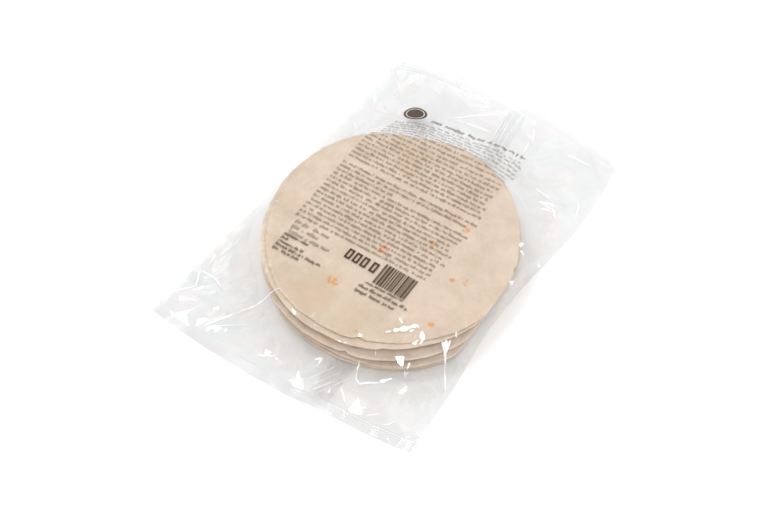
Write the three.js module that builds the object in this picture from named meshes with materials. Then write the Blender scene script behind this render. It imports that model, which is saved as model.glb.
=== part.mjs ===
// A clear sealed bag of flour tortillas, lying flat, as one closed solid.
// The upper film is drawn over the round stack and falls to loose flaps, the lower film lies flat under
// the stack, and the two meet in side folds and in two end seals. Lengths are in millimetres: X runs
// across the bag, Y along it towards the far seal, and Z up.
import * as THREE from "three";

// The stack inside the bag, and where it has slid to
const TORTILLA_DIAMETER = 160;
const TORTILLA_THICKNESS = 1.65;
const TORTILLA_COUNT = 16;
const STACK_X = 6;
const STACK_Y = -14;

// The film stands a little off the stack and rounds its rim
const FILM_EASE = 0.6;
const SHOULDER_DROP = 1.4;
const SHOULDER_START = 0.96;

// Film beside the stack: taut where the flap is narrow, slack and folded where it is wide
const TAUT_FLAP = 5;
const SLACK_FLAP = 45;
const SLACK_STEEPNESS = 2.2;
const PLEAT_HEIGHT = 2.2;
const PLEATS = [
  { count: 13, share: 0.5, phase: 0.7 },
  { count: 21, share: 0.3, phase: 2.1 },
  { count: 34, share: 0.2, phase: 0 },
];

// Film drawn tight where the flap is narrow: from above and below it presses the stack's rim thin
const TAUT_END = 18;
const TAUT_START = 0.72;
const TAUT_DROP = 5;
const TAUT_LIFT = 7;

// Side folds, and the two end seals with the stretch where the films part behind them
const FOLD_THICKNESS = 1.2;
const SEAL_THICKNESS = 1;
const SEAL_WIDTH = 10;
const SEAL_FADE = 14;
const NEAR_END = -133;
const FAR_END = 131;

// The four edges as they lie, each a smooth curve through points of (across, along, height):
// the near right corner and the middle of the far seal stand off the ground, and the right side is
// drawn in where the stack pushes against it
const NEAR_EDGE = [
  [-94, -132, 1.5],
  [-45, -134, 1.2],
  [5, -133, 1.5],
  [30, -131, 4],
  [68, -130, 9],
  [93, -127, 11],
];
const RIGHT_EDGE = [
  [93, -127, 11],
  [90, -80, 5],
  [87.4, -35, 11],
  [89, 5, 12],
  [93, 60, 6],
  [92, 100, 3],
  [89, 129, 3],
];
const FAR_EDGE = [
  [89, 129, 3],
  [58, 131, 9],
  [26, 132, 13],
  [-10, 131, 11],
  [-55, 131, 8],
  [-84, 128, 2],
];
const LEFT_EDGE = [
  [-84, 128, 2],
  [-85, 62, 2],
  [-88, 5, 3],
  [-89, -45, 3],
  [-94, -90, 2],
  [-94, -132, 1.5],
];

// Spokes from the middle of the stack to each edge, and stations along a spoke: 0 is the middle,
// 1 the stack's rim and 2 the bag's edge
const SPOKES_PER_EDGE = 44;
const LOWER_STATIONS = [0, 0.5, 0.72, 0.86, 0.985, 1.2, 1.5, 1.75, 1.88, 2];
const UPPER_FLAP_STATIONS = [2, 1.9, 1.8, 1.7, 1.58, 1.46, 1.34, 1.24, 1.15, 1.08, 1.03];
const UPPER_STACK_STATIONS = [1, 0.98, 0.96, 0.91, 0.84, 0.72, 0.36, 0];

const FILM_COLOR = 0xe9e4dc;
const FILM_ROUGHNESS = 0.15;
const FILM_OPACITY = 0.5;

const RIM_RADIUS = TORTILLA_DIAMETER / 2 + FILM_EASE;
const TOP_HEIGHT = TORTILLA_COUNT * TORTILLA_THICKNESS + FILM_EASE;
const EDGES = [NEAR_EDGE, RIGHT_EDGE, FAR_EDGE, LEFT_EDGE].map(smoothCurve);
const SPOKE_COUNT = EDGES.length * SPOKES_PER_EDGE;

function smoothCurve(points) {
  return new THREE.CatmullRomCurve3(points.map((point) => new THREE.Vector3(...point)));
}

// The point of the bag's outline that a spoke runs out to
function edgePoint(spoke) {
  const index = spoke % SPOKE_COUNT;
  const edge = EDGES[Math.floor(index / SPOKES_PER_EDGE)];
  return edge.getPoint((index % SPOKES_PER_EDGE) / SPOKES_PER_EDGE);
}

// The folds' height round the stack, as a share of the highest
function pleat(angle) {
  return PLEATS.reduce((sum, { count, share, phase }) => sum + share * Math.cos(count * angle + phase), 0);
}

// How far the two films have parted at a distance along the bag: 0 in the seals, 1 well behind them
function filmOpening(along) {
  const fromEnd = Math.min(along - NEAR_END, FAR_END - along);
  return THREE.MathUtils.smoothstep(fromEnd, SEAL_WIDTH, SEAL_WIDTH + SEAL_FADE);
}

// How tightly the film is drawn over the rim: 1 where the flap is narrow, 0 where it is loose
function tautness(flap) {
  return 1 - THREE.MathUtils.smoothstep(flap, TAUT_FLAP, TAUT_END);
}

// Height of the lower film, which lifts from the ground under a tight rim and towards a raised edge
function lowerHeight(station, share, flap, edgeHeight) {
  const lift = TAUT_LIFT * tautness(flap) * THREE.MathUtils.smoothstep(station, TAUT_START, 1);
  return THREE.MathUtils.lerp(lift, edgeHeight, share * share);
}

// Height of the upper film: level over the stack, then falling to the edge, steeply where it is slack
function upperHeight(station, share, angle, flap, edgeHeight) {
  const taut = tautness(flap);
  const shoulderStart = THREE.MathUtils.lerp(SHOULDER_START, TAUT_START, taut);
  const drop = THREE.MathUtils.lerp(SHOULDER_DROP, TAUT_DROP, taut);
  const shoulder = drop * THREE.MathUtils.smoothstep(station, shoulderStart, 1);
  const slack = THREE.MathUtils.smoothstep(flap, TAUT_FLAP, SLACK_FLAP);
  const fall = Math.pow(1 - share, 1 + SLACK_STEEPNESS * slack);
  const fold = PLEAT_HEIGHT * slack * pleat(angle) * Math.sin(Math.PI * share) * (1 - share);
  return edgeHeight + (TOP_HEIGHT - shoulder - edgeHeight) * fall + fold;
}

// A point of the upper or lower film at a station along a spoke
function filmPoint(spoke, station, isUpper) {
  const edge = edgePoint(spoke);
  const reach = Math.hypot(edge.x - STACK_X, edge.y - STACK_Y);
  const angle = Math.atan2(edge.y - STACK_Y, edge.x - STACK_X);
  const flap = Math.max(reach - RIM_RADIUS, FILM_EASE);
  const share = Math.max(station - 1, 0);
  const radius = Math.min(station, 1) * RIM_RADIUS + share * flap;
  const x = STACK_X + radius * Math.cos(angle);
  const y = STACK_Y + radius * Math.sin(angle);
  const lower = lowerHeight(station, share, flap, edge.z);
  if (!isUpper) {
    return new THREE.Vector3(x, y, lower);
  }
  const upper = upperHeight(station, share, angle, flap, edge.z);
  const gap = Math.max(upper - lower, FOLD_THICKNESS);
  return new THREE.Vector3(x, y, lower + THREE.MathUtils.lerp(SEAL_THICKNESS, gap, filmOpening(y)));
}

// A closed round skin, from the middle of the lower film out to the edge and back over the upper film,
// drawn spoke by spoke to the form of the bag
function bagGeometry() {
  const stations = [
    ...LOWER_STATIONS.map((station) => ({ station, isUpper: false })),
    ...UPPER_FLAP_STATIONS.map((station) => ({ station, isUpper: true })),
    ...UPPER_STACK_STATIONS.map((station) => ({ station, isUpper: true })),
  ];
  const profile = stations.map(({ station, isUpper }) => new THREE.Vector2(station, isUpper ? 1 : 0));
  const geometry = new THREE.LatheGeometry(profile, SPOKE_COUNT);
  const position = geometry.getAttribute("position");
  for (let index = 0; index < position.count; index++) {
    const { station, isUpper } = stations[index % stations.length];
    const point = filmPoint(Math.floor(index / stations.length), station, isUpper);
    position.setXYZ(index, point.x, point.y, point.z);
  }
  return geometry;
}

// Puts the origin in the middle of the bag's footprint, on the ground
function setOnGround(geometry) {
  geometry.computeBoundingBox();
  const { min, max } = geometry.boundingBox;
  geometry.translate(-(min.x + max.x) / 2, -(min.y + max.y) / 2, -min.z);
}

function sealedBag() {
  const geometry = bagGeometry();
  setOnGround(geometry);
  geometry.computeVertexNormals();
  const film = new THREE.MeshStandardMaterial({
    color: FILM_COLOR,
    roughness: FILM_ROUGHNESS,
    metalness: 0,
    transparent: true,
    opacity: FILM_OPACITY,
  });
  const mesh = new THREE.Mesh(geometry, film);
  mesh.name = "sealed_bag";
  return mesh;
}

const group = new THREE.Group();
group.add(sealedBag());
export default group;
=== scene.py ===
import math
import random

import bmesh
import bpy
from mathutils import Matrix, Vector, geometry, kdtree, noise
from mathutils.bvhtree import BVHTree


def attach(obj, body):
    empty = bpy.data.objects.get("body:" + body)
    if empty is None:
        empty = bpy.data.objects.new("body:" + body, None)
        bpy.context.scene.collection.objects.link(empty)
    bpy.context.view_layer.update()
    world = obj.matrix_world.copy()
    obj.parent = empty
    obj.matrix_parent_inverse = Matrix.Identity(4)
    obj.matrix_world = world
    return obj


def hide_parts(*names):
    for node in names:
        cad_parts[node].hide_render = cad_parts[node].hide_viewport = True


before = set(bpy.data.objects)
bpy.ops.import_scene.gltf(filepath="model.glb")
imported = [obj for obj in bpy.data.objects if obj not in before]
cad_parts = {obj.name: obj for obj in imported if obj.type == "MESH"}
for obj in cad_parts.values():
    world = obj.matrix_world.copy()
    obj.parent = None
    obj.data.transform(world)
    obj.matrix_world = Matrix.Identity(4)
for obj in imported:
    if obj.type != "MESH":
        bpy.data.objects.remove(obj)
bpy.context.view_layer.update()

# The camera looks down on the lying bag from its near right, as in the photograph:
# a moderate telephoto view with the bag turned across the frame. Lengths are in millimetres.
MM = 0.001
IMAGE_WIDTH = 768
FOCAL_PIXELS = 1300
VIEW_AZIMUTH = math.radians(34.2)
VIEW_ELEVATION = math.radians(55.05)
VIEW_DISTANCE = 812.3
VIEW_TARGET = Vector((4.9, -21.7, 10))

towards_camera = Vector((
    math.sin(VIEW_AZIMUTH) * math.cos(VIEW_ELEVATION),
    -math.cos(VIEW_AZIMUTH) * math.cos(VIEW_ELEVATION),
    math.sin(VIEW_ELEVATION),
))
camera_data = bpy.data.cameras.new("camera")
camera_data.lens = FOCAL_PIXELS / IMAGE_WIDTH * camera_data.sensor_width
camera = bpy.data.objects.new("camera", camera_data)
camera.location = (VIEW_TARGET + VIEW_DISTANCE * towards_camera) * MM
camera.rotation_euler = (-towards_camera).to_track_quat("-Z", "Y").to_euler()
bpy.context.scene.collection.objects.link(camera)
bpy.context.scene.camera = camera


# The floor is a white studio table, matt and wide enough to have no edge in view.
# Soft boxes light it from high on the left, from behind to the right, from over the camera and from the
# far left. The pale room round them is brighter to the right and uneven, so that facets of film differ.
FLOOR_HALF = 4000
FLOOR_WHITE = "F7F7F7"
# Soft boxes: name, place, width and watts
SOFT_BOXES = [
    ("high_box", (-420, -20, 1080), 190, 2.1),
    ("back_box", (1600, 1200, 1400), 520, 7.0),
    ("front_box", (400, -660, 2000), 160, 6.5),
    ("left_box", (-1600, 300, 1200), 1000, 2.8),
]
# The room's light on its dark and its bright side, and the patches in it
PURE_WHITE = "FFFFFF"
ROOM_DARK = 0.88
ROOM_BRIGHT = 1.06
BRIGHT_SIDE = (0.93, -0.37, 0)
ROOM_PATCHES = 0.6
PATCHES_ACROSS = 3.0
PATCH_LOW, PATCH_HIGH = 0.3, 0.7


def linear(code):
    """Linear colour of an sRGB hex value, with alpha."""
    def channel(part):
        value = int(part, 16) / 255
        return value / 12.92 if value <= 0.04045 else ((value + 0.055) / 1.055) ** 2.4
    return (*(channel(code[place:place + 2]) for place in (0, 2, 4)), 1.0)


def add_node(tree, kind, sockets=None, **settings):
    """Adds a node with its settings, and fills or links its sockets."""
    made = tree.nodes.new(kind)
    for name, value in settings.items():
        setattr(made, name, value)
    for name, value in (sockets or {}).items():
        if isinstance(value, bpy.types.NodeSocket):
            tree.links.new(value, made.inputs[name])
        else:
            made.inputs[name].default_value = value
    return made


def new_material(name):
    """An empty node material and its tree."""
    material = bpy.data.materials.new(name)
    material.use_nodes = True
    material.node_tree.nodes.clear()
    return material, material.node_tree


def surface(tree, shader):
    """Makes a shader's result the material's surface."""
    add_node(tree, "ShaderNodeOutputMaterial", {"Surface": shader.outputs[0]})


def new_piece(name, shape, material, crease=math.pi):
    """A smooth object in metres from a bmesh in millimetres, with edges past the crease angle sharp."""
    for edge in shape.edges:
        edge.smooth = edge.calc_face_angle(0) < crease
    bmesh.ops.scale(shape, vec=(MM, MM, MM), verts=shape.verts)
    mesh = bpy.data.meshes.new(name)
    shape.to_mesh(mesh)
    shape.free()
    mesh.polygons.foreach_set("use_smooth", [True] * len(mesh.polygons))
    mesh.materials.append(material)
    piece = bpy.data.objects.new(name, mesh)
    bpy.context.scene.collection.objects.link(piece)
    return piece


def soft_box(name, place, width, watts):
    """A square studio light that faces the bag."""
    data = bpy.data.lights.new(name, "AREA")
    data.size = width * MM
    data.energy = watts
    light = bpy.data.objects.new(name, data)
    light.location = Vector(place) * MM
    light.rotation_euler = (-Vector(place)).to_track_quat("-Z", "Y").to_euler()
    bpy.context.scene.collection.objects.link(light)


# Matt white paint, with no gloss at all
floor_paint, tree = new_material("white_table_paint")
surface(tree, add_node(tree, "ShaderNodeBsdfPrincipled", {
    "Base Color": linear(FLOOR_WHITE), "Roughness": 0.9, "Specular IOR Level": 0.0}))
shape = bmesh.new()
bmesh.ops.create_grid(shape, x_segments=1, y_segments=1, size=FLOOR_HALF)
new_piece("floor", shape, floor_paint)

for box in SOFT_BOXES:
    soft_box(*box)

world = bpy.data.worlds.new("pale_room")
world.use_nodes = True
tree = world.node_tree
direction = add_node(tree, "ShaderNodeTexCoord").outputs["Generated"]
nearness = add_node(tree, "ShaderNodeVectorMath", {
    0: direction, 1: BRIGHT_SIDE}, operation="DOT_PRODUCT")
level = add_node(tree, "ShaderNodeMapRange", {
    "Value": nearness.outputs["Value"], "From Min": -1.0, "From Max": 1.0,
    "To Min": ROOM_DARK, "To Max": ROOM_BRIGHT})
patches = add_node(tree, "ShaderNodeTexNoise", {
    "Vector": direction, "Scale": PATCHES_ACROSS, "Detail": 1.0})
unevenness = add_node(tree, "ShaderNodeMapRange", {
    "Value": patches.outputs["Fac"], "From Min": PATCH_LOW, "From Max": PATCH_HIGH,
    "To Min": 1 - ROOM_PATCHES, "To Max": 1 + ROOM_PATCHES})
strength = add_node(tree, "ShaderNodeMath", {
    0: level.outputs["Result"], 1: unevenness.outputs["Result"]}, operation="MULTIPLY")
tree.links.new(strength.outputs[0], tree.nodes["Background"].inputs["Strength"])
tree.nodes["Background"].inputs["Color"].default_value = linear(PURE_WHITE)
bpy.context.scene.world = world
bpy.context.scene.view_settings.view_transform = "Standard"


# The tortillas are thin round flatbreads of wheat dough, pressed, baked on a hot plate and stacked.
# Their rims are thin and uneven and part from each other, and some have slid out towards the near
# left, where the bag is slack.
TORTILLA_COUNT = 16
TORTILLA_RADIUS = 80
MIDDLE_THICKNESS = 1.5
RIM_THICKNESS = 1.05
STACK_PITCH = 1.63
STACK_FOOT = 0.4
STACK_CENTRE = Vector((6.6, -13))
STACK_TOP = STACK_FOOT + TORTILLA_COUNT * STACK_PITCH
# The half section: its rings, and where it starts to thin and to follow the rim
RIM_STEPS = 300
PROFILE_SHARES = (0, 0.15, 0.3, 0.45, 0.58, 0.7, 0.79, 0.86, 0.91, 0.95, 0.975, 0.99)
RIM_ROUND_STEPS = 6
THINNING_START = 0.6
RIM_LIFT_START = 0.45
RIM_STRETCH_POWER = 3
POINT_MERGE = 0.01
# From the bottom up: how many tortillas, and how far they have slid
SLIPS = [
    (3, (3.0, -2.2)),
    (3, (2.4, -3.4)),
    (2, (1.0, 0.5)),
    (1, (5.0, -5.0)),
    (2, (0, 3.0)),
    (1, (1.6, -7.0)),
    (2, (-3.5, 3.0)),
    (1, (-1.1, -4.5)),
    (1, (0, 0.3)),
]
LOOSE_SLIP = 0.6
SLIP_SEED = 40
# Waves of the outline: how close they are, and their height as a share of the radius
RIM_WAVES = [(1.3, 0.011), (5, 0.006), (14, 0.005)]
LAYER_SHIFT = 5.7
# Nicks in the rim: the tortilla, the place in degrees, the depth, and the width in degrees
NICKS = [(15, -71, 1.6, 1.5), (11, -76, 1.8, 1.2), (14, -58, 1.0, 2.0), (15, 15, 1.2, 1.5)]
# Gaps between the rims: their least weight, and what chance adds to it
LEAST_PARTING = 0.05
CHANCE_PARTING = 0.5
PARTING_WAVES = 2.2
# Wide gaps: the tortilla over the gap, its middle and spread in degrees, and the weight added there
PARTINGS = [
    (14, -46, 24, 1.6),
    (14, -118, 16, 0.8),
    (11, -50, 24, 0.9),
    (9, -82, 12, 0.2),
    (4, -95, 25, 0.2),
    (15, -75, 15, 0.1),
]
# At the right the tight bag squeezes the rims: the upper ones bend down and the lower ones up and in
SQUEEZE_ANGLE = -6
SQUEEZE_SPREAD = 26
SQUEEZE_DROP = 5
SQUEEZE_LIFT = 7.5
SQUEEZE_THINNING = 0.24
# The side fold that flattens them there: its place, how far each tortilla below stays back from it,
# which rims face it, and how gently it takes over from the round
FOLD_LIMIT = 84.3
FOLD_LEAN = 0.35
FOLD_FACING = 0.3
FOLD_ROUNDING = 1.5
# Farther round, the flaps press the rims in: middle and spread in degrees, depth at the top, and how
# much deeper for each tortilla below
PRESSES = [(30, 18, 2.0, 0.22), (112, 17, 3.4, 0), (-165, 32, 2.2, -0.8)]
# Slow rise and fall of the whole stack
WAVE_HEIGHT = 0.3
WAVE_SIZE = 28


def smoothstep(low, high, value):
    """A smooth rise from zero at a low value to one at a high value."""
    share = min(max((value - low) / (high - low), 0), 1)
    return share * share * (3 - 2 * share)


def bell(value, middle, spread):
    """One at the middle, falling to nothing at about twice the spread."""
    return math.exp(-((value - middle) / spread) ** 2)


def lumps(plan, size, sheet):
    """Smooth noise on the plan, with lumps of about a size, apart for each sheet."""
    return noise.noise(Vector((*plan, sheet)) / size)


def around(angle, reach, layer):
    """A place in a noise field that closes on itself round the stack, apart for each tortilla."""
    return Vector((reach * math.cos(angle), reach * math.sin(angle), layer * LAYER_SHIFT))


def squeeze(angle):
    """How hard the bag presses the rim at an angle round the stack, from 0 to 1."""
    return bell(math.degrees(angle), SQUEEZE_ANGLE, SQUEEZE_SPREAD)


def rim_levels_at(angle):
    """Heights of the middle of each tortilla's rim at an angle round the stack."""
    pressed = squeeze(angle)
    bottom = STACK_FOOT + SQUEEZE_LIFT * pressed
    top = STACK_TOP - SQUEEZE_DROP * pressed
    thickness = RIM_THICKNESS * (1 - SQUEEZE_THINNING * pressed)
    weights = [0]
    for layer in range(1, TORTILLA_COUNT):
        by_chance = max(noise.noise(around(angle, PARTING_WAVES, layer)), 0)
        weight = LEAST_PARTING + CHANCE_PARTING * by_chance ** 2
        for over, middle, spread, share in PARTINGS:
            if over == layer:
                weight += share * bell(math.degrees(angle), middle, spread)
        weights.append(weight)
    loose = (top - bottom - TORTILLA_COUNT * thickness) / sum(weights)
    return [
        bottom + (layer + 0.5) * thickness + loose * sum(weights[:layer + 1])
        for layer in range(TORTILLA_COUNT)
    ]


def rim_radius(layer, angle):
    """Radius of a tortilla, uneven as pressed dough is, flat against the fold, with its nicks."""
    below_top = TORTILLA_COUNT - 1 - layer
    unevenness = 1
    for reach, height in RIM_WAVES:
        unevenness += height * noise.noise(around(angle, reach, layer))
    radius = TORTILLA_RADIUS * unevenness
    if math.cos(angle) > FOLD_FACING:
        limit = FOLD_LIMIT - FOLD_LEAN * below_top
        to_fold = (limit - tortilla_centres[layer].x) / math.cos(angle)
        radius = (radius + to_fold - math.hypot(radius - to_fold, FOLD_ROUNDING)) / 2
    for middle, spread, depth, lean in PRESSES:
        radius -= max(depth + lean * below_top, 0) * bell(math.degrees(angle), middle, spread)
    for nicked, middle, depth, spread in NICKS:
        if nicked == layer:
            radius -= depth * bell(math.degrees(angle), middle, spread)
    return radius


def rim_step(angle):
    """The step round the rim that is nearest to an angle."""
    return round(angle / math.tau * RIM_STEPS) % RIM_STEPS


slip_chance = random.Random(SLIP_SEED)
tortilla_centres = []
for count, slip in SLIPS:
    for _ in range(count):
        loose_slip = [slip_chance.uniform(-LOOSE_SLIP, LOOSE_SLIP) for _ in range(2)]
        tortilla_centres.append(STACK_CENTRE + Vector(slip) + Vector(loose_slip))
rim_angles = [math.remainder(math.tau * step / RIM_STEPS, math.tau) for step in range(RIM_STEPS)]
rim_radii = [[rim_radius(layer, angle) for angle in rim_angles] for layer in range(TORTILLA_COUNT)]
rim_levels = [rim_levels_at(angle) for angle in rim_angles]


def tortilla_level(layer, share, step):
    """Height of a tortilla's middle layer at a share of its radius and a step round it."""
    lift = smoothstep(RIM_LIFT_START, 1, share)
    middle_level = STACK_FOOT + layer * STACK_PITCH + MIDDLE_THICKNESS / 2
    return (1 - lift) * middle_level + lift * rim_levels[step][layer]


def stack_wave(plan):
    """Slow rise and fall that all the tortillas share."""
    return WAVE_HEIGHT * lumps(plan, WAVE_SIZE, sheet=0)


def tortilla_blank():
    """A closed flat round with a thin rounded rim, from a half section turned about its middle."""
    shape = bmesh.new()
    half_rim = RIM_THICKNESS / 2
    flat_radius = TORTILLA_RADIUS - half_rim
    upper = []
    for share in PROFILE_SHARES:
        thinning = (MIDDLE_THICKNESS / 2 - half_rim) * smoothstep(THINNING_START, 1, share)
        upper.append((share * flat_radius, MIDDLE_THICKNESS / 2 - thinning))
    rim = []
    for step in range(1, RIM_ROUND_STEPS):
        turn = math.pi * step / RIM_ROUND_STEPS
        rim.append((flat_radius + half_rim * math.sin(turn), half_rim * math.cos(turn)))
    section = upper + rim + [(radius, -height) for radius, height in reversed(upper)]
    verts = [shape.verts.new((radius, 0, height)) for radius, height in section]
    edges = [shape.edges.new(pair) for pair in zip(verts, verts[1:])]
    bmesh.ops.spin(shape, geom=verts + edges, axis=(0, 0, 1), cent=(0, 0, 0), angle=math.tau,
                   steps=RIM_STEPS, use_merge=True)
    bmesh.ops.remove_doubles(shape, verts=shape.verts, dist=POINT_MERGE)
    bmesh.ops.recalc_face_normals(shape, faces=shape.faces)
    return shape


def tortilla_shape(blank, layer):
    """A copy of the flat round with its own outline and slip, laid on the ones below it."""
    shape = blank.copy()
    for vert in shape.verts:
        angle = math.atan2(vert.co.y, vert.co.x)
        step = rim_step(angle)
        share = vert.co.xy.length / TORTILLA_RADIUS
        stretch = (rim_radii[layer][step] / TORTILLA_RADIUS - 1) * share ** RIM_STRETCH_POWER
        plan = tortilla_centres[layer] + vert.co.xy * (1 + stretch)
        thinned = 1 - SQUEEZE_THINNING * squeeze(angle) * share
        height = vert.co.z * thinned + tortilla_level(layer, share, step) + stack_wave(plan)
        vert.co = Vector((*plan, height))
    return shape


# Baked wheat dough: matt and floury, pale pinkish beige with a faint cloudiness and a fine grain, and
# orange-brown toasted spots where blisters touched the plate.
DOUGH_DARK = "CDB8A2"
DOUGH_LIGHT = "DFCEBA"
CLOUD_SIZE = 22
CLOUD_LOW, CLOUD_HIGH = 0.33, 0.67
GRAIN_SIZE = 0.9
GRAIN_DEPTH = 0.2
TOAST_TAN = "CBAE8C"
TOAST_ORANGE = "DA9F64"
# Toasted spots on the top tortilla: place on the plan, radius and strength
SPOTS = [
    ((-3.6, -63.6), 5.0, 0.68),
    ((54.8, -22.2), 2.6, 1.0),
    ((62.5, -18.7), 5.0, 0.62),
    ((42.8, 13.8), 3.4, 0.75),
    ((61.7, -56), 2.2, 1.0),
    ((7.5, -27.6), 4.6, 0.68),
    ((34.4, -61.9), 2.8, 0.5),
    ((19.8, 24.5), 3.6, 0.5),
    ((28, -84.8), 1.6, 0.8),
    ((77.1, -21.8), 2.0, 0.5),
    ((41.1, -79.1), 2.0, 0.45),
    ((35, -86.6), 1.4, 0.7),
    ((30.8, -6.3), 3.2, 0.75),
    ((-30, -12), 2.4, 0.5),
]
# Wider, fainter tan areas
TAN_AREAS = [((-16, 40), 13, 0.4), ((-8, -78), 16, 0.35), ((20, -80), 14, 0.3)]
# A patch is strongest within one share of its radius and gone at another, and its outline is ragged
PATCH_CORE, PATCH_REACH = 0.4, 1.3
RAGGED_SIZE = 3.5
RAGGED_REACH = 5
# A spot breaks up into flecks: it shows where its strength and the flecks together pass a level
FLECK_SIZE = 2
SPOT_WEIGHT = 0.8
SPOT_START, SPOT_FULL = 0.9, 1.05
# Sockets of a Mix node that is set to colours
MIX_SHARE, MIX_FIRST, MIX_SECOND, MIX_RESULT = 0, 6, 7, 2


def per_size(size):
    """Texture scale whose pattern repeats at about a size in millimetres."""
    return 1 / (size * MM)


def set_ramp(node, *stops):
    """Gives a colour ramp its two stops, each a position and a colour."""
    for element, (position, code) in zip(node.color_ramp.elements, stops):
        element.position = position
        element.color = linear(code)


def patch_mask(tree, place, patches):
    """The strongest of some round patches at a place, each fading over its radius."""
    mask = 0.0
    for (x, y), radius, strength in patches:
        centre = Vector((x, y, STACK_TOP)) * MM
        away = add_node(tree, "ShaderNodeVectorMath", {0: place, 1: centre}, operation="DISTANCE")
        fade = add_node(tree, "ShaderNodeMapRange", {
            "Value": away.outputs["Value"], "To Min": 0.0, "To Max": strength,
            "From Min": radius * PATCH_REACH * MM, "From Max": radius * PATCH_CORE * MM,
        }, interpolation_type="SMOOTHSTEP")
        strongest = add_node(tree, "ShaderNodeMath", {
            0: fade.outputs["Result"], 1: mask}, operation="MAXIMUM")
        mask = strongest.outputs[0]
    return mask


bread, tree = new_material("baked_flour_tortilla")
place = add_node(tree, "ShaderNodeTexCoord").outputs["Object"]
cloud = add_node(tree, "ShaderNodeTexNoise", {
    "Vector": place, "Scale": per_size(CLOUD_SIZE), "Detail": 6.0, "Roughness": 0.78})
tone = add_node(tree, "ShaderNodeValToRGB", {"Fac": cloud.outputs["Fac"]})
set_ramp(tone, (CLOUD_LOW, DOUGH_DARK), (CLOUD_HIGH, DOUGH_LIGHT))
ragged = add_node(tree, "ShaderNodeTexNoise", {
    "Vector": place, "Scale": per_size(RAGGED_SIZE), "Detail": 3.0, "Roughness": 0.6})
warped = add_node(tree, "ShaderNodeVectorMath", {
    0: ragged.outputs["Color"], 1: (RAGGED_REACH * MM,) * 3, 2: place}, operation="MULTIPLY_ADD")
centred = add_node(tree, "ShaderNodeVectorMath", {
    0: warped.outputs[0], 1: (RAGGED_REACH * MM / 2,) * 3}, operation="SUBTRACT")
tanned = add_node(tree, "ShaderNodeMix", {
    MIX_SHARE: patch_mask(tree, centred.outputs[0], TAN_AREAS),
    MIX_FIRST: tone.outputs["Color"],
    MIX_SECOND: linear(TOAST_TAN),
}, data_type="RGBA")
flecks = add_node(tree, "ShaderNodeTexNoise", {
    "Vector": place, "Scale": per_size(FLECK_SIZE), "Detail": 2.0, "Roughness": 0.6})
blistered = add_node(tree, "ShaderNodeMath", {
    0: patch_mask(tree, centred.outputs[0], SPOTS), 1: SPOT_WEIGHT, 2: flecks.outputs["Fac"],
}, operation="MULTIPLY_ADD")
spotted = add_node(tree, "ShaderNodeMapRange", {
    "Value": blistered.outputs[0], "From Min": SPOT_START, "From Max": SPOT_FULL})
toasted = add_node(tree, "ShaderNodeMix", {
    MIX_SHARE: spotted.outputs["Result"],
    MIX_FIRST: tanned.outputs[MIX_RESULT],
    MIX_SECOND: linear(TOAST_ORANGE),
}, data_type="RGBA")
grain = add_node(tree, "ShaderNodeTexNoise", {
    "Vector": place, "Scale": per_size(GRAIN_SIZE), "Detail": 4.0})
bump = add_node(tree, "ShaderNodeBump", {
    "Height": grain.outputs["Fac"], "Strength": 0.3, "Distance": GRAIN_DEPTH * MM})
surface(tree, add_node(tree, "ShaderNodeBsdfPrincipled", {
    "Base Color": toasted.outputs[MIX_RESULT], "Normal": bump.outputs[0],
    "Roughness": 0.85, "Specular IOR Level": 0.2}))

blank = tortilla_blank()
for layer in range(TORTILLA_COUNT):
    tortilla = new_piece(f"tortilla_{layer + 1:02d}", tortilla_shape(blank, layer), bread)
    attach(tortilla, "root")
blank.free()


# The bag is a tube of clear polypropylene film, about 0.04 mm thick, folded flat at both sides.
# It lies slack on the table and over the stack, and crumples into flat facets with sharp creases where
# the flat film can't follow the round stack. At the right it is drawn tight against the stack.
BAG_WIDTH = 187
BAG_LENGTH = 264
SEAL_SHARE = 0.042
# The four edges as they lie, and their shift into the bag's own frame, half way up the seals
NEAR_EDGE = [
    (-94, -132, 1.5), (-45, -134, 1.2), (5, -133, 1.5), (30, -131, 4), (68, -130, 9), (93, -127, 11)]
FAR_EDGE = [(-84, 128, 2), (-55, 131, 8), (-10, 131, 11), (26, 132, 13), (58, 131, 9), (89, 129, 3)]
LEFT_EDGE = [(-94, -132, 1.5), (-94, -90, 2), (-89, -45, 3), (-88, 5, 3), (-85, 62, 2), (-84, 128, 2)]
RIGHT_EDGE = [
    (93, -127, 11), (90, -80, 5), (87.4, -35, 11), (89, 5, 12), (93, 60, 6), (92, 100, 3), (89, 129, 3)]
EDGE_SHIFT = Vector((0.6, 1.0, 0.5))
# Ripples of both ends: how many, their height, their dip, and the shares of the length they fade over
END_RIPPLES = 9
RIPPLE_HEIGHT = 1.2
RIPPLE_DIP = -0.4
RIPPLE_FADE = (0.03, 0.14)
FAR_END_SHIFT = 7.7
# Spacing of the facets' corners, and how far they are shifted by chance
OUTLINE_SPACING = 3
STACK_SPACING = 6
FLAP_SPACING = 11
LOWER_SPACING = 6.5
SCATTER_JOG = 0.4
EDGE_MARGIN = 2
CORNER_MERGE = 0.02
# Rings of corners round the top tortilla's rim, by how far out they are, and the room that they keep
RIM_RINGS = (-4, -1.6, -0.4, 0.6, 2, 4, 6.5, 9.5, 13)
RIM_RING_STEPS = 150
RIM_RING_JOG = 0.35
ROOM_INSIDE_RINGS, ROOM_OUTSIDE_RINGS = 2, 3
# Round the badge that is printed on it the film is smooth, with closer corners in rings
BADGE_PLACE = Vector((-43, 86.5))
BADGE_CORNER_RINGS = ((2, 5), (5, 10), (8, 15), (11, 20))
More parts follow.
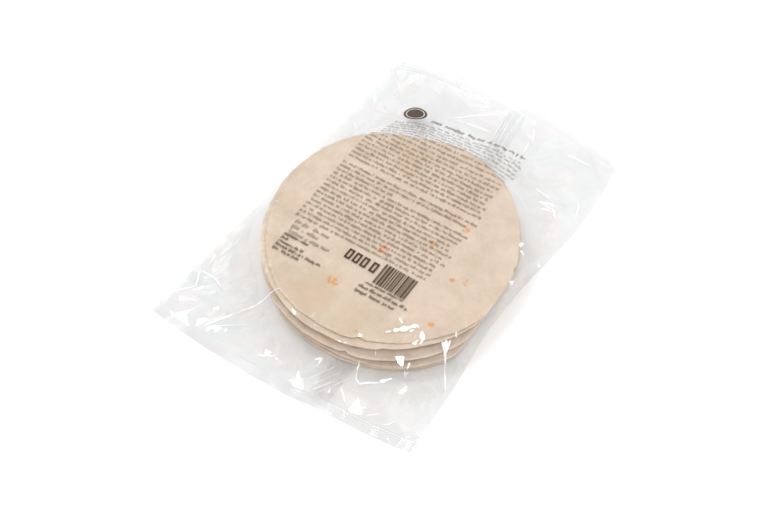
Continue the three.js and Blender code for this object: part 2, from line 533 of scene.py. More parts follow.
# Folds in the upper film, each a long low ridge of four flat facets: its ends, its height and half width
PLACED_FOLDS = [
    ((-24, -84), (-60, -124), 3.0, 2.6),
    ((-25, -93), (-45, -112), 1.2, 2.2),
    ((-93, -116), (-70, -98), 0.9, 2.2),
    ((-55, -119), (-38, -108), 0.5, 1.8),
    ((-22, -121), (-9, -113), 0.7, 1.8),
    ((36, -92), (43, -106), 0.8, 1.4),
    ((42, -106), (57, -100), 0.6, 1.4),
    ((35, -111), (43, -118), 0.5, 1.4),
    ((70, -58), (88, -80), 1.4, 1.8),
    ((78, -56), (77, -66), 1.0, 1.6),
    ((-20, 95), (8, 125), 1.0, 2.6),
    ((8, 125), (11, 99), 0.8, 1.8),
    ((-20, 95), (11, 99), 0.8, 2.2),
    ((29, 124), (35, 109), 0.6, 1.4),
    ((28, 112), (41, 112), 0.6, 1.4),
    ((34, 107), (36, 96), 0.6, 1.4),
    ((58, 116), (76, 119), 0.6, 1.6),
    ((57, 76), (68, 78), 0.6, 1.6),
    ((64, 68), (84, 87), 0.8, 1.8),
    ((74, 71), (90, 76), 0.6, 1.6),
]
FOLD_PEAK = 0.35
# Loose folds: half width by length, height by half width, and one trough to two ridges
FOLD_SLIMNESS = (0.06, 0.17)
FOLD_STEEPNESS = (0.1, 0.36)
FOLD_SIDES = (-1, 1, 1)
# Those on the flaps: how many, their lengths, the part of the bag that they start in, how far they stray
# from running outwards, and how far off the stack they stay
LOOSE_FOLDS = 230
LOOSE_LENGTHS = (8, 44)
LOOSE_AREA = (0.03, 0.97)
LOOSE_STRAY = 0.7
LOOSE_CLEARANCE = 4
# Crumpled areas: middle, reach and how many small folds
CRUMPLES = [
    ((-78, -96), 20, 34),
    ((-45, -106), 18, 22),
    ((76, 74), 20, 34),
    ((33, 113), 13, 16),
    ((56, 118), 14, 12),
    ((50, -112), 16, 14),
    ((-10, -110), 18, 24),
    ((90, 45), 10, 8),
    ((-5, 116), 18, 18),
    ((52, -67), 8, 18),
]
CRUMPLE_LENGTHS = (4, 14)
FILM_SEED = 11


def along_edge(points, share):
    """A point at a share of the way along a smooth curve through an edge's points."""
    knots = [Vector(point) + EDGE_SHIFT for point in points]
    spans = len(knots) - 1
    span = min(int(share * spans), spans - 1)
    part = share * spans - span
    before, start, end = knots[max(span - 1, 0)], knots[span], knots[span + 1]
    after = knots[min(span + 2, spans)]
    once = (end - before) * part
    squared = (2 * before - 5 * start + 4 * end - after) * part ** 2
    cubed = (3 * start - before - 3 * end + after) * part ** 3
    return start + (once + squared + cubed) / 2


def bag_plan(across, along):
    """A point of the surface between the bag's four edges, at shares across and along it."""
    ends = along_edge(NEAR_EDGE, across).lerp(along_edge(FAR_EDGE, across), along)
    sides = along_edge(LEFT_EDGE, along).lerp(along_edge(RIGHT_EDGE, along), across)
    near_corners = along_edge(NEAR_EDGE, 0).lerp(along_edge(NEAR_EDGE, 1), across)
    far_corners = along_edge(FAR_EDGE, 0).lerp(along_edge(FAR_EDGE, 1), across)
    point = ends + sides - near_corners.lerp(far_corners, along)
    ripple = lumps((across * END_RIPPLES, round(along) * FAR_END_SHIFT), size=1, sheet=0.3)
    fade = 1 - smoothstep(*RIPPLE_FADE, min(along, 1 - along))
    point.z += RIPPLE_HEIGHT * max(ripple, RIPPLE_DIP) * fade
    return point


def film_place(across, share):
    """The same between the two seals, at a share of the way from one to the other."""
    return bag_plan(across, SEAL_SHARE + share * (1 - 2 * SEAL_SHARE))


def film_outline():
    """The closed line where the films meet: the inner edges of the seals and the side folds."""
    corners = [(0, 0), (1, 0), (1, 1), (0, 1)]
    line = []
    for start, end in zip(corners, corners[1:] + corners[:1]):
        length = BAG_WIDTH if start[1] == end[1] else BAG_LENGTH
        steps = round(length / OUTLINE_SPACING)
        for step in range(steps):
            line.append(film_place(*Vector(start).lerp(Vector(end), step / steps)))
    return line


outline = film_outline()
outline_finder = kdtree.KDTree(len(outline))
for index, point in enumerate(outline):
    outline_finder.insert((*point.xy, 0), index)
outline_finder.balance()


def nearest_edge(plan):
    """The height of the bag's nearest edge, and how far away the edge is."""
    _, index, distance = outline_finder.find((*plan, 0))
    return outline[index].z, distance


def is_inside(plan):
    """Whether a place is well within the bag's outline."""
    place, _, distance = outline_finder.find((*plan, 0))
    return distance > EDGE_MARGIN and (place.xy - plan).dot(plan - STACK_CENTRE) > 0


def flap_reach(plan):
    """How far a place is out of the top tortilla's round."""
    return (plan - tortilla_centres[-1]).length - TORTILLA_RADIUS


def heading(angle):
    """The direction on the plan at an angle."""
    return Vector((math.cos(angle), math.sin(angle)))


def loose_fold(start, turn, length, chance):
    """A ridge or a trough from a place in a direction, much longer than wide."""
    end = start + length * heading(turn)
    width = length * chance.uniform(*FOLD_SLIMNESS)
    height = width * chance.uniform(*FOLD_STEEPNESS) * chance.choice(FOLD_SIDES)
    return start, end, height, width


def is_clear(fold, others):
    """Whether the ridge of a fold crosses no other."""
    return not any(geometry.intersect_line_line_2d(*fold[:2], *other[:2]) for other in others)


def add_crumples(folds, chance):
    """Adds small folds in all directions to the crumpled areas."""
    for middle, reach, count in CRUMPLES:
        for _ in range(count):
            away = reach * math.sqrt(chance.random())
            start = Vector(middle) + away * heading(chance.uniform(0, math.tau))
            fold = loose_fold(start, chance.uniform(0, math.tau), chance.uniform(*CRUMPLE_LENGTHS), chance)
            if is_inside(start) and is_inside(fold[1]) and is_clear(fold, folds):
                folds.append(fold)


def add_loose_folds(folds, chance):
    """Adds folds at random on the flaps, most of them running out from the stack."""
    wanted = len(folds) + LOOSE_FOLDS
    while len(folds) < wanted:
        start = film_place(chance.uniform(*LOOSE_AREA), chance.uniform(*LOOSE_AREA)).xy
        outwards = start - STACK_CENTRE
        turn = math.atan2(outwards.y, outwards.x) + chance.gauss(0, LOOSE_STRAY)
        fold = loose_fold(start, turn, chance.uniform(*LOOSE_LENGTHS), chance)
        end = fold[1]
        is_on_flap = min(flap_reach(start), flap_reach(end)) > LOOSE_CLEARANCE
        if is_on_flap and is_inside(end) and is_clear(fold, folds):
            folds.append(fold)


def is_off_badge(fold):
    """Whether a fold stays clear of the printed badge."""
    start, end = fold[:2]
    share = geometry.intersect_point_line(BADGE_PLACE, start, end)[1]
    nearest = start.lerp(end, min(max(share, 0), 1))
    return (nearest - BADGE_PLACE).length > BADGE_CORNER_RINGS[-1][0]


film_chance = random.Random(FILM_SEED)
folds = [(Vector(start), Vector(end), height, width) for start, end, height, width in PLACED_FOLDS]
add_crumples(folds, film_chance)
add_loose_folds(folds, film_chance)
folds = [fold for fold in folds if is_off_badge(fold)]


def scatter(spacing, chance):
    """Plan points over the whole film, about a spacing apart and uneven."""
    across, along = round(BAG_WIDTH / spacing), round(BAG_LENGTH / spacing)
    for column in range(1, across):
        for row in range(1, along):
            aside, ahead = (chance.uniform(-SCATTER_JOG, SCATTER_JOG) for _ in range(2))
            yield film_place((column + aside) / across, (row + ahead) / along).xy


def rim_points(chance):
    """Plan points in rings round the top tortilla's rim."""
    for gap in RIM_RINGS:
        for step in range(RIM_RING_STEPS):
            jog = chance.uniform(-RIM_RING_JOG, RIM_RING_JOG)
            angle = math.tau * (step + jog) / RIM_RING_STEPS
            radius = rim_radii[-1][rim_step(angle)] + gap
            yield tortilla_centres[-1] + radius * heading(angle)


def badge_points():
    """Plan points in rings under the printed badge."""
    for radius, count in BADGE_CORNER_RINGS:
        for step in range(count):
            yield BADGE_PLACE + radius * heading(math.tau * step / count)


def fold_feet(start, end, width):
    """The two outer corners of a fold, beside its peak."""
    span = end - start
    aside = Vector((-span.y, span.x)).normalized() * width
    peak = start + span * FOLD_PEAK
    return [peak + aside, peak - aside]


def upper_points(chance):
    """Corners of the upper film's facets apart from its ridges: close at the rim, sparse elsewhere."""
    innermost, outermost = RIM_RINGS[0] - ROOM_INSIDE_RINGS, RIM_RINGS[-1] + ROOM_OUTSIDE_RINGS
    points = [plan for plan in scatter(STACK_SPACING, chance) if flap_reach(plan) < innermost]
    points += rim_points(chance)
    points += [plan for plan in scatter(FLAP_SPACING, chance) if flap_reach(plan) > outermost]
    points += badge_points()
    for start, end, _, width in folds:
        points += fold_feet(start, end, width)
    return points


# How the films lie. The upper one clears the tortillas and falls from their rims at a slope to the skin of
# the solid bag, the lower one lies just inside that skin, and both buckle more where they are slack.
FILM_EASE = 0.5
DRAPE_SLOPE = 1.5
UPPER_EASE, LOWER_EASE = 0.2, 0.25
FILM_GAP = 0.3
TAUT_BUCKLE, SLACK_BUCKLE = 0.08, 0.7
UPPER_SLACK = (2, 16)
UPPER_BUCKLE_SIZE = 14
LOWER_BUCKLE = 0.8
LOWER_SLACK = (2, 14)
LOWER_BUCKLE_SIZE = 8
# Over these distances from the bag's edge the buckles and folds, and the films' own heights, come in
BUCKLE_FADE = (0, 9)
EDGE_FADE = (0, 4)
# Heights over and under the bag that plumb lines start from
ABOVE, BELOW = 100, -100


def solid_skin(node):
    """A search tree of a solid's skin, in millimetres."""
    skin = bmesh.new()
    skin.from_mesh(node.data)
    bmesh.ops.scale(skin, vec=(1 / MM,) * 3, verts=skin.verts)
    found = BVHTree.FromBMesh(skin)
    skin.free()
    return found


def plumb(skin, plan, start):
    """Where a plumb line from a height over or under the bag first meets a skin, and the normal there."""
    direction = Vector((0, 0, -1 if start > 0 else 1))
    return skin.ray_cast(Vector((*plan, start)), direction)[:2]


bag_skin = solid_skin(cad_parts["sealed_bag"])


def stack_drape(plan):
    """Height of film drawn over the tortillas and their rims, and whether it lies on the top one."""
    highest = 0
    for layer in reversed(range(TORTILLA_COUNT)):
        offset = plan - tortilla_centres[layer]
        step = rim_step(math.atan2(offset.y, offset.x))
        share = offset.length / rim_radii[layer][step]
        outside = max(share - 1, 0) * rim_radii[layer][step]
        top = tortilla_level(layer, min(share, 1), step) + MIDDLE_THICKNESS / 2
        highest = max(highest, top + FILM_EASE - DRAPE_SLOPE * outside)
        if share < 1:
            break
    return highest + stack_wave(plan), layer == TORTILLA_COUNT - 1


def fold_rise(plan):
    """Height that the folds add at a place."""
    total = 0
    for start, end, height, width in folds:
        span = end - start
        offset = plan - start
        along = offset.dot(span) / span.length_squared
        if 0 < along < 1:
            aside = abs(span.cross(offset)) / span.length / width
            rise = min(along / FOLD_PEAK, (1 - along) / (1 - FOLD_PEAK))
            total += height * max(rise - aside, 0)
    return total


def lower_height(plan):
    """Height of the lower film: on the ground, with slack facets, and up to the bag's edges."""
    edge_height, from_edge = nearest_edge(plan)
    skin = plumb(bag_skin, plan, BELOW)[0]
    height = (skin.z if skin else 0) + LOWER_EASE
    buckle = LOWER_BUCKLE * smoothstep(*LOWER_SLACK, flap_reach(plan)) * smoothstep(*BUCKLE_FADE, from_edge)
    height += buckle * (0.5 + lumps(plan, LOWER_BUCKLE_SIZE, sheet=9))
    return edge_height + (height - edge_height) * smoothstep(*EDGE_FADE, from_edge)


def upper_height(plan):
    """Height of the upper film: over the stack, on the flaps, and down to the bag's edges."""
    edge_height, from_edge = nearest_edge(plan)
    height, is_on_top = stack_drape(plan)
    skin = plumb(bag_skin, plan, ABOVE)[0]
    if skin and not is_on_top:
        height = max(height, skin.z + UPPER_EASE)
    slackness = TAUT_BUCKLE + SLACK_BUCKLE * smoothstep(*UPPER_SLACK, flap_reach(plan))
    buckle = slackness * (0.5 + lumps(plan, UPPER_BUCKLE_SIZE, sheet=1))
    height += (buckle + fold_rise(plan)) * smoothstep(*BUCKLE_FADE, from_edge)
    height = max(height, lower_height(plan) + FILM_GAP)
    return edge_height + (height - edge_height) * smoothstep(*EDGE_FADE, from_edge)


def film_sheet(points, ridges, height):
    """One film between the seals, of flat facets between its corners and along the ridges of its folds."""
    corners = [point.xy for point in outline] + points
    edges = [(index, (index + 1) % len(outline)) for index in range(len(outline))]
    for ridge in ridges:
        first = len(corners)
        corners += ridge
        edges += [(index, index + 1) for index in range(first, len(corners) - 1)]
    inside_outline = 1
    plans, _, faces = geometry.delaunay_2d_cdt(corners, edges, [], inside_outline, CORNER_MERGE)[:3]
    shape = bmesh.new()
    verts = [shape.verts.new((*plan, height(plan))) for plan in plans]
    for face in faces:
        shape.faces.new([verts[index] for index in face])
    shape.normal_update()
    return shape


def join(shape, other):
    """Adds another bmesh's faces to a bmesh."""
    mesh = bpy.data.meshes.new("joined")
    other.to_mesh(mesh)
    other.free()
    shape.from_mesh(mesh)
    bpy.data.meshes.remove(mesh)


# Clear film: seen through almost without loss, with a mirror gloss that grows towards grazing angles, and
# a faint rose and blue tint where it was stretched.
FILM_ROSE = "FAF9F9"
FILM_BLUE = "F8F9F9"
FILM_MIRROR = 0.07
FILM_GRAZING = 0.8
GRAZING_POWER = 5
FILM_CREASE = math.radians(8)
STRETCH_SIZE = 15
STRETCH_LOW, STRETCH_HIGH = 0.38, 0.62


def film_surface(tree, clear_colour, mirror):
    """Film that passes a colour and mirrors a share of the room, more so at grazing angles."""
    gloss = add_node(tree, "ShaderNodeBsdfPrincipled", {
        "Base Color": linear(PURE_WHITE), "Metallic": 1.0, "Roughness": 0.05})
    facing = add_node(tree, "ShaderNodeLayerWeight", {"Blend": 0.5}).outputs["Facing"]
    grazing = add_node(tree, "ShaderNodeMath", {0: facing, 1: GRAZING_POWER}, operation="POWER")
    mirrored = add_node(tree, "ShaderNodeMath", {
        0: grazing.outputs[0], 1: FILM_GRAZING, 2: mirror}, operation="MULTIPLY_ADD")
    clear = add_node(tree, "ShaderNodeBsdfTransparent", {"Color": clear_colour})
    surface(tree, add_node(tree, "ShaderNodeMixShader", {
        0: mirrored.outputs[0], 1: clear.outputs[0], 2: gloss.outputs[0]}))


film_plastic, tree = new_material("clear_polypropylene_film")
place = add_node(tree, "ShaderNodeTexCoord").outputs["Object"]
stretch = add_node(tree, "ShaderNodeTexNoise", {
    "Vector": place, "Scale": per_size(STRETCH_SIZE), "Detail": 2.0})
tint = add_node(tree, "ShaderNodeValToRGB", {"Fac": stretch.outputs["Fac"]})
set_ramp(tint, (STRETCH_LOW, FILM_ROSE), (STRETCH_HIGH, FILM_BLUE))
film_surface(tree, tint.outputs["Color"], FILM_MIRROR)

ridges = [[start, start.lerp(end, FOLD_PEAK), end] for start, end, _, _ in folds]
film = film_sheet([plan for plan in upper_points(film_chance) if is_inside(plan)], ridges, upper_height)
upper_skin = BVHTree.FromBMesh(film)
lower_points = [plan for plan in scatter(LOWER_SPACING, film_chance) if is_inside(plan)]
lower_film = film_sheet(lower_points, [], lower_height)
bmesh.ops.reverse_faces(lower_film, faces=lower_film.faces)
lower_skin = BVHTree.FromBMesh(lower_film)
join(film, lower_film)
bmesh.ops.remove_doubles(film, verts=film.verts, dist=CORNER_MERGE)
film_bag = new_piece("film_bag", film, film_plastic, FILM_CREASE)
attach(film_bag, "root")
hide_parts("sealed_bag")


# Painted glints: thin broken white lines on the upper film's flaps where its sharpest creases catch the
# light, and wider painted highlights where the film is folded over at the stack's near rim. They lie on the
# upper film's facets, and more painted highlights mark the lengthwise lines of the seam on the lower film.
# Each line: the points it runs through and its half width
PAINTED_GLINT_LINES = [
    ([(-25.9, -85.2), (-36, -94.5), (-47, -103.9)], 0.45),
    ([(-47, -103.9), (-60, -123)], 0.3),
    ([(-92, -115), (-82, -102)], 0.5),
    ([(-82, -102), (-87, -91)], 0.4),
    ([(-87, -91), (-75, -91.5), (-67, -95)], 0.4),
    ([(-55, -119), (-38, -108)], 0.3),
    ([(-21, -121), (-9, -113)], 0.5),
    ([(13, -107), (17, -105), (16, -109)], 0.5),
    ([(37.7, -93.5), (39.5, -101), (41, -104), (44.3, -105.6), (56.4, -99.5)], 0.45),
    ([(44, -88), (45.5, -90)], 0.4),
    ([(64, -87), (66, -90)], 0.4),
    ([(35, -111), (43, -118)], 0.35),
    ([(48, -120), (56, -115)], 0.5),
    ([(58, -119), (64, -115)], 0.4),
    ([(42.5, -76.5), (45.5, -73.5)], 0.7),
    ([(46, -73), (49, -69.5)], 1.1),
    ([(48.5, -70.5), (53, -65.5)], 2.3),
    ([(52, -66.5), (56, -61)], 1.3),
    ([(55.5, -61), (58, -63)], 0.5),
    ([(54, -68), (56, -65)], 0.8),
    ([(59.5, -63.5), (62.5, -64.5)], 0.5),
    ([(58, -69), (59.5, -68)], 0.6),
    ([(72.4, -60.7), (77.3, -64)], 0.7),
    ([(76, -57), (77.3, -64)], 0.8),
    ([(74.3, -58.5), (77.3, -65.5)], 2.0),
    ([(76.5, -62), (79.5, -68), (88, -80)], 0.65),
    ([(76, -51), (78, -54)], 0.4),
    ([(8, 122), (-20, 95)], 0.3),
    ([(-20, 95), (11, 99)], 0.3),
    ([(-12, 116), (-6, 121)], 0.5),
    ([(30, 121), (35, 109)], 0.5),
    ([(28, 112.5), (36, 110)], 0.5),
    ([(34, 107), (36, 96)], 0.35),
    ([(47, 116), (53, 117)], 0.4),
    ([(58, 116), (76, 118)], 0.35),
    ([(57, 75.5), (68, 77.5)], 0.4),
    ([(64, 68), (74, 71), (78, 65)], 0.5),
    ([(84, 87), (88, 75.5)], 0.4),
    ([(19, 67), (30, 69)], 0.35),
]
# Painted highlights along the lines of the seam at the far end, side by side: where each is across the bag,
# and its half width
FAR_SEAM_GLINT_LINES = [(9, 0.3), (11.5, 0.2), (13.5, 0.4), (17.5, 0.3), (19, 0.2)]
FAR_SEAM_RUN = [(-1.5, 121), (0, 95), (0.5, 78)]
# Painted highlights along the lines of the seam at the near end: the points each runs through and its half
# width
NEAR_SEAM_GLINT_LINES = [
    ([(5.9, -120.4), (18.1, -96)], 0.25),
    ([(11.8, -120.5), (25.5, -94)], 0.35),
    ([(16.7, -121.2), (29.3, -97.9)], 0.25),
    ([(21, -120.5), (28, -108)], 0.4),
    ([(25, -120.5), (34.4, -101)], 0.3),
]
LINE_STEP = 1.2
LINE_LIFT = 0.12
# A line's width: its mean share and how that varies, the parts of the length over which it narrows to
# its ends, and the half width there
WIDTH_MEAN = 0.75
WIDTH_SWING = 0.9
WIDTH_LUMP = 3
WIDTH_LEAST = 0.15
NARROW_AT_START, NARROW_AT_END = 0.2, 0.3
END_HALF_WIDTH = 0.03


def line_width(place, share):
    """Width of a painted glint line at a place and a share of its length, as a share of its full width."""
    uneven = WIDTH_MEAN + WIDTH_SWING * lumps(place, WIDTH_LUMP, sheet=2)
    return max(uneven, WIDTH_LEAST) * min(share / NARROW_AT_START, (1 - share) / NARROW_AT_END, 1)


def add_painted_glint(shape, skin, points, half_width):
    """A painted glint: a ribbon along a line of plan points on a film, of uneven width and pointed at both
    ends.
    """
    knots = [Vector(point) for point in points]
    total = sum((end - start).length for start, end in zip(knots, knots[1:]))
    run = 0
    last = None
    for start, end in zip(knots, knots[1:]):
        span = end - start
        aside = Vector((-span.y, span.x)).normalized()
        steps = max(round(span.length / LINE_STEP), 2)
        for step in range(steps + 1):
            place = start + span * step / steps
            share = (run + span.length * step / steps) / total
            width = half_width * line_width(place, share) + END_HALF_WIDTH
            pair = []
            for side in (-1, 1):
                hit = plumb(skin, place + aside * width * side, ABOVE)[0]
                pair.append(shape.verts.new(hit + Vector((0, 0, LINE_LIFT))))
            if last:
                shape.faces.new((last[0], last[1], pair[1], pair[0]))
            last = pair
        run += span.length


# White ribbons of painted highlight on both films
painted_glints = bmesh.new()
for line in PAINTED_GLINT_LINES:
    add_painted_glint(painted_glints, upper_skin, *line)
for across, half_width in FAR_SEAM_GLINT_LINES:
    add_painted_glint(painted_glints, lower_skin, [(across + x, y) for x, y in FAR_SEAM_RUN], half_width)
for line in NEAR_SEAM_GLINT_LINES:
    add_painted_glint(painted_glints, lower_skin, *line)
bmesh.ops.recalc_face_normals(painted_glints, faces=painted_glints.faces)

# Painted glints: milky white and half clear, standing for light caught on the film's creases
glint_paint, tree = new_material("painted_glint_film")
surface(tree, add_node(tree, "ShaderNodeBsdfPrincipled", {
    "Base Color": linear(PURE_WHITE), "Roughness": 0.3, "Alpha": 0.75}))
painted_film_glints = new_piece("painted_film_glints", painted_glints, glint_paint)
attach(painted_film_glints, "root")


# The end seals are the two films welded together between ribbed hot jaws, across both ends of the bag.
# The ribs leave fine ridges along the seal, and the cut edge is left wavy.
SEAL_ROWS = 36
SEAL_COLUMNS = 124
SEAL_FILM = 0.12
RIB_PITCH = 1.9
RIB_HEIGHT = 0.25
RIB_SHADE_MARK = "rib"
# The ribs rise over a first stretch from the cut edge, and end at a share of the seal's depth
RIB_START = 1.5
RIBBED_SHARE = 0.8
# Painted shade: the seal's clear colour is greyer in the grooves between its ribs and over this distance
# from the cut edge, and clearer on the ribs
CUT_EDGE = 1.2
GROOVE_PAINTED_SHADE = "F1F1F1"
RIB_CLEAR = "FCFCFC"


def seal_strip(is_near):
    """One ribbed end seal from the film's end to the bag's cut edge, with its ribs marked."""
    shape = bmesh.new()
    ribs = shape.verts.layers.float.new(RIB_SHADE_MARK)
    bmesh.ops.create_grid(shape, x_segments=SEAL_COLUMNS, y_segments=SEAL_ROWS, size=0.5)
    for vert in shape.verts:
        depth = (vert.co.y + 0.5) * SEAL_SHARE
        along = depth if is_near else 1 - depth
        from_edge = depth * BAG_LENGTH
        rib = math.cos(math.tau * from_edge / RIB_PITCH)
        rib *= smoothstep(0, RIB_START, from_edge) * smoothstep(SEAL_SHARE, SEAL_SHARE * RIBBED_SHARE, depth)
        # The mark is one on the ribs and falls to nothing in the grooves and at the cut edge, where shade is
        # painted
        vert[ribs] = (0.5 + 0.5 * rib) * smoothstep(0, CUT_EDGE, from_edge)
        vert.co = bag_plan(vert.co.x + 0.5, along) + Vector((0, 0, RIB_HEIGHT * rib))
    bmesh.ops.recalc_face_normals(shape, faces=shape.faces)
    return shape


# Crimped seal: the same film, with painted shade making it a little greyer in the grooves between its ribs
# and at its cut edge
seal_plastic, tree = new_material("crimped_seal_painted_shade")
rib = add_node(tree, "ShaderNodeAttribute", attribute_name=RIB_SHADE_MARK)
painted_rib_shade = add_node(tree, "ShaderNodeMix", {
    MIX_SHARE: rib.outputs["Fac"],
    MIX_FIRST: linear(GROOVE_PAINTED_SHADE),
    MIX_SECOND: linear(RIB_CLEAR),
}, data_type="RGBA")
film_surface(tree, painted_rib_shade.outputs[MIX_RESULT], FILM_MIRROR)

for name, is_near in (("near_seal", True), ("far_seal", False)):
    seal = new_piece(name, seal_strip(is_near), seal_plastic)
    wall = seal.modifiers.new("film_wall", "SOLIDIFY")
    wall.thickness = SEAL_FILM * MM
    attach(seal, "root")


# The back seam joins the film's long edges into the tube: a welded fin folded flat under the bag.
# It shows through both films at the two ends as a band of lengthwise lines.
SEAM_WIDTH = 14
SEAM_LENGTH = 250
SEAM_FAR_X = 13.5
SEAM_NEAR_X = 27
SEAM_COLUMNS = 7
SEAM_ROWS = 80
# Its lie: how far under the lower film it is, how high it is past the film's ends, and its least height
SEAM_DROP = 0.5
SEAM_END_LEVEL = 0.4
GROUND_CLEARANCE = 0.05
# Its crumpling, in lumps that are drawn out along it, and the film's heights over which it comes loose
SEAM_CRUMPLE = 1.1
SEAM_LUMP = 2.5
SEAM_DRAW = 3
SEAM_LOOSE = (0.3, 1.5)
SEAM_CLEAR = "FAFAFA"
SEAM_MIRROR = 0.05


def back_seam_shape():
    """The seam's strip, following the lower film from seal to seal, crumpled where it is loose."""
    shape = bmesh.new()
    bmesh.ops.create_grid(shape, x_segments=SEAM_COLUMNS, y_segments=SEAM_ROWS, size=0.5)
    for vert in shape.verts:
        middle = SEAM_NEAR_X + (SEAM_FAR_X - SEAM_NEAR_X) * (vert.co.y + 0.5)
        x, y = middle + vert.co.x * SEAM_WIDTH, vert.co.y * SEAM_LENGTH
        hit = plumb(lower_skin, (x, y), BELOW)[0]
        base = hit.z if hit else SEAM_END_LEVEL
        crumpled = SEAM_CRUMPLE * lumps((x, y / SEAM_DRAW), SEAM_LUMP, sheet=4)
        height = base - SEAM_DROP + crumpled * smoothstep(*SEAM_LOOSE, base)
        vert.co = Vector((x, y, max(height, GROUND_CLEARANCE)))
    bmesh.ops.triangulate(shape, faces=shape.faces)
    return shape


# Welded fin: clear film pressed on film, so that it mirrors less
seam_plastic, tree = new_material("welded_polypropylene_fin")
film_surface(tree, linear(SEAM_CLEAR), SEAM_MIRROR)
back_seam = new_piece("back_seam", back_seam_shape(), seam_plastic, FILM_CREASE)
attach(back_seam, "root")


# The print is dark brown flexo ink on the upper film: rows of small print, a bolder heading, a plain
# oval badge, a block of stripes and four open frames. Every row is made of plain upright bars.
INK_LIFT = 0.1
MARK_STEP = 2.5
# A row's slant on the top of the stack, what the skewed film of the far flap adds, and from where to where
ROW_SLANT = 0.04
FLAP_SLANT = 0.085
FLAP_RISE = (45, 80)
# Words: their lengths and the gaps between them, for a print size of one
WORD_LENGTHS = (1.5, 6.5)
WORD_GAP = 0.5
# The bars of a word: their pitch, the share that is printed, their heights, and two up to one down
STEM_PITCH = 0.44
STEM_SHARE = 0.88
STEM_HEIGHTS = (1.0, 1.0, 0.7, 1.35)
STEM_SIDES = (1, 1, -1)
PRINT_SEED = 7
print_chance = random.Random(PRINT_SEED)


def on_film(x, y):
    """The point just over the upper film at a place on the plan."""
    hit, normal = plumb(upper_skin, (x, y), ABOVE)
    return hit + normal * INK_LIFT


def add_mark(shape, x, y, width, height):
    """A plain printed bar that follows the film."""
    across = max(round(width / MARK_STEP), 1)
    along = max(round(height / MARK_STEP), 1)
    made = bmesh.ops.create_grid(shape, x_segments=across, y_segments=along, size=0.5)
    for vert in made["verts"]:
        vert.co = on_film(x + vert.co.x * width, y + vert.co.y * height)


def add_word(shape, x, y, length, size, weight):
    """Upright bars side by side, some of them taller or hanging lower, as dense as a word of print."""
    count = max(round(length / (size * STEM_PITCH)), 1)
    for stem in range(count):
        tall = size * print_chance.choice(STEM_HEIGHTS)
        shift = (tall - size) / 2 * print_chance.choice(STEM_SIDES)
        if print_chance.random() < STEM_SHARE:
            add_mark(shape, x + (stem + 0.5) * length / count, y + shift, size * weight, tall)


def add_row(shape, left, right, y, size, weight):
    """A row of words of random length between two margins, climbing to the right with the film."""
    x = left
    slant = ROW_SLANT + FLAP_SLANT * smoothstep(*FLAP_RISE, y)
    while x < right - size:
        length = min(size * print_chance.uniform(*WORD_LENGTHS), right - x)
        add_word(shape, x, y + slant * (x - left), length, size, weight)
        x += length + size * WORD_GAP


def next_row(y, pitch):
    """The next row towards the far end, a pitch away along the film."""
    rise = on_film(0, y + 1).z - on_film(0, y).z
    return y + pitch / math.hypot(1, rise)


def ink(name, code):
    """Matt printing ink that covers the film."""
    material, tree = new_material(name)
    surface(tree, add_node(tree, "ShaderNodeBsdfPrincipled", {
        "Base Color": linear(code), "Roughness": 0.5, "Specular IOR Level": 0.3}))
    return material


def add_print(name, shape, material):
    """A printed piece that goes with the bag."""
    piece = new_piece(name, shape, material)
    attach(piece, "root")


# Two blocks of small print, one set row by row towards the far end and one towards the near end, with
# one short row. The rows' right ends are ragged.
SMALL_INK = "604A34"
SMALL_SIZE, SMALL_WEIGHT = 1.75, 0.17
LEFT_MARGIN = -52
RIGHT_MARGIN = 47
RAGGED_END = 6
ROW_PITCH = 3.63
FAR_BLOCK_FIRST, FAR_BLOCK_LAST = 21.9, 77
NEAR_BLOCK_FIRST, NEAR_BLOCK_ROWS = 15.5, 15
SHORT_ROW = 2
SHORT_ROW_END = -10
# Rows below the blocks: thin ones and bold ones, by their right end and place along the bag
LOWER_LEFT = -49
THIN_SIZE, THIN_WEIGHT = 2.4, 0.14
THIN_ROWS = [(-24, -40.1), (-26, -44.4), (-14.4, -48.7)]
BOLD_INK = "4A3828"
BOLD_SIZE, BOLD_WEIGHT = 1.7, 0.25
BOLD_ROWS = [(-30, -51.6), (-43, -54.7), (-30, -57.8), (-15.4, -60.8), (-27.5, -63.9)]
# The heading and the rows under the stripes: both ends, place along the bag and size
HEADING_WEIGHT = 0.24
HEADING = (-28.3, 39.5, 83.4, 2.6)
STRIPE_ROWS = [(13, 41, -53.4, 1.4), (10.5, 44.7, -57.2, 1.9), (10.5, 37.8, -61.2, 1.9)]
small_print = bmesh.new()
bold_print = bmesh.new()
add_row(bold_print, *HEADING, HEADING_WEIGHT)
y = FAR_BLOCK_FIRST
while y < FAR_BLOCK_LAST:
    right = RIGHT_MARGIN - print_chance.uniform(0, RAGGED_END)
    add_row(small_print, LEFT_MARGIN, right, y, SMALL_SIZE, SMALL_WEIGHT)
    y = next_row(y, ROW_PITCH)
for row in range(NEAR_BLOCK_ROWS):
    y = NEAR_BLOCK_FIRST - row * ROW_PITCH
    right = SHORT_ROW_END if row == SHORT_ROW else RIGHT_MARGIN - print_chance.uniform(0, RAGGED_END)
    add_row(small_print, LEFT_MARGIN, right, y, SMALL_SIZE, SMALL_WEIGHT)
for right, y in THIN_ROWS:
    add_row(small_print, LOWER_LEFT, right, y, THIN_SIZE, THIN_WEIGHT)
for right, y in BOLD_ROWS:
    add_row(bold_print, LOWER_LEFT, right, y, BOLD_SIZE, BOLD_WEIGHT)
for row in STRIPE_ROWS:
    add_row(bold_print, *row, HEADING_WEIGHT)

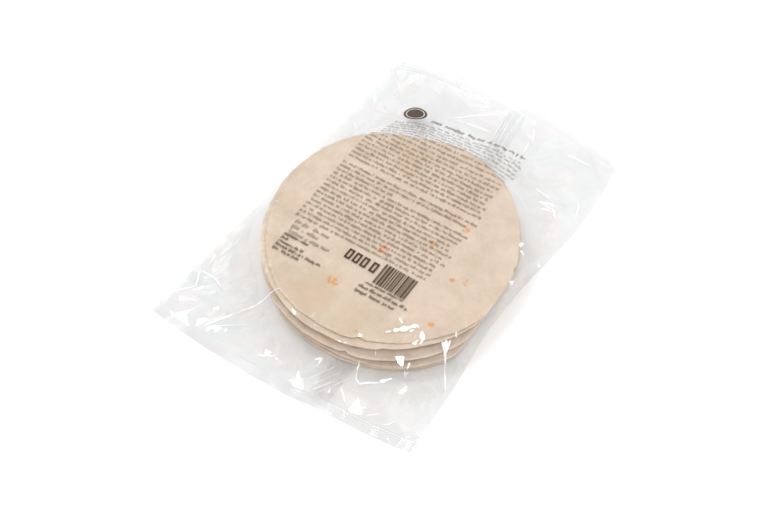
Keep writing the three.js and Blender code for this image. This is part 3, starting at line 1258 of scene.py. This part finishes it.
# Four open frames, each of two uprights and two cross bars
FRAME_PLACES = (-6.6, -1, 4.6, 11.4)
FRAME_Y = -41.9
FRAME_WIDTH, FRAME_HEIGHT, FRAME_STROKE = 4.2, 7.6, 1.35
for x in FRAME_PLACES:
    for side in (-1, 1):
        upright_x = x + side * (FRAME_WIDTH - FRAME_STROKE) / 2
        add_mark(bold_print, upright_x, FRAME_Y, FRAME_STROKE, FRAME_HEIGHT)
        cross_y = FRAME_Y + side * (FRAME_HEIGHT - FRAME_STROKE) / 2
        add_mark(bold_print, x, cross_y, FRAME_WIDTH - 2 * FRAME_STROKE, FRAME_STROKE)

# The block of stripes, of a few widths and gaps in random order
STRIPE_LEFT, STRIPE_RIGHT = 16.4, 38.6
STRIPE_Y, STRIPE_HEIGHT = -43.4, 15.9
STRIPE_WIDTHS = (0.4, 0.4, 0.8, 1.2)
STRIPE_GAPS = (0.4, 0.4, 0.8)
x = STRIPE_LEFT
while x < STRIPE_RIGHT:
    width = print_chance.choice(STRIPE_WIDTHS)
    add_mark(bold_print, x + width / 2, STRIPE_Y, width, STRIPE_HEIGHT)
    x += width + print_chance.choice(STRIPE_GAPS)
add_print("small_print", small_print, ink("brown_ink_small_print", SMALL_INK))
add_print("bold_print", bold_print, ink("brown_ink_bold_print", BOLD_INK))

# The badge: a filled oval and a line round it, turned from a row of points with one gap
BADGE_INK = "504032"
BADGE_HALF = Vector((8.6, 6.2))
BADGE_RINGS = (0, 0.3, 0.55, 0.72, 0.8, 1.0)
BADGE_GAP = 3
BADGE_STEPS = 48
badge = bmesh.new()
spoke = [badge.verts.new((share, 0, 0)) for share in BADGE_RINGS]
rings = [badge.edges.new(pair) for pair in zip(spoke, spoke[1:])]
badge.edges.remove(rings[BADGE_GAP])
bmesh.ops.spin(badge, geom=badge.verts[:] + badge.edges[:], axis=(0, 0, 1), cent=(0, 0, 0),
               angle=math.tau, steps=BADGE_STEPS, use_merge=True)
bmesh.ops.remove_doubles(badge, verts=badge.verts, dist=POINT_MERGE)
for vert in badge.verts:
    vert.co = on_film(*(BADGE_PLACE + vert.co.xy * BADGE_HALF))
bmesh.ops.recalc_face_normals(badge, faces=badge.faces)
add_print("badge", badge, ink("brown_ink_badge", BADGE_INK))
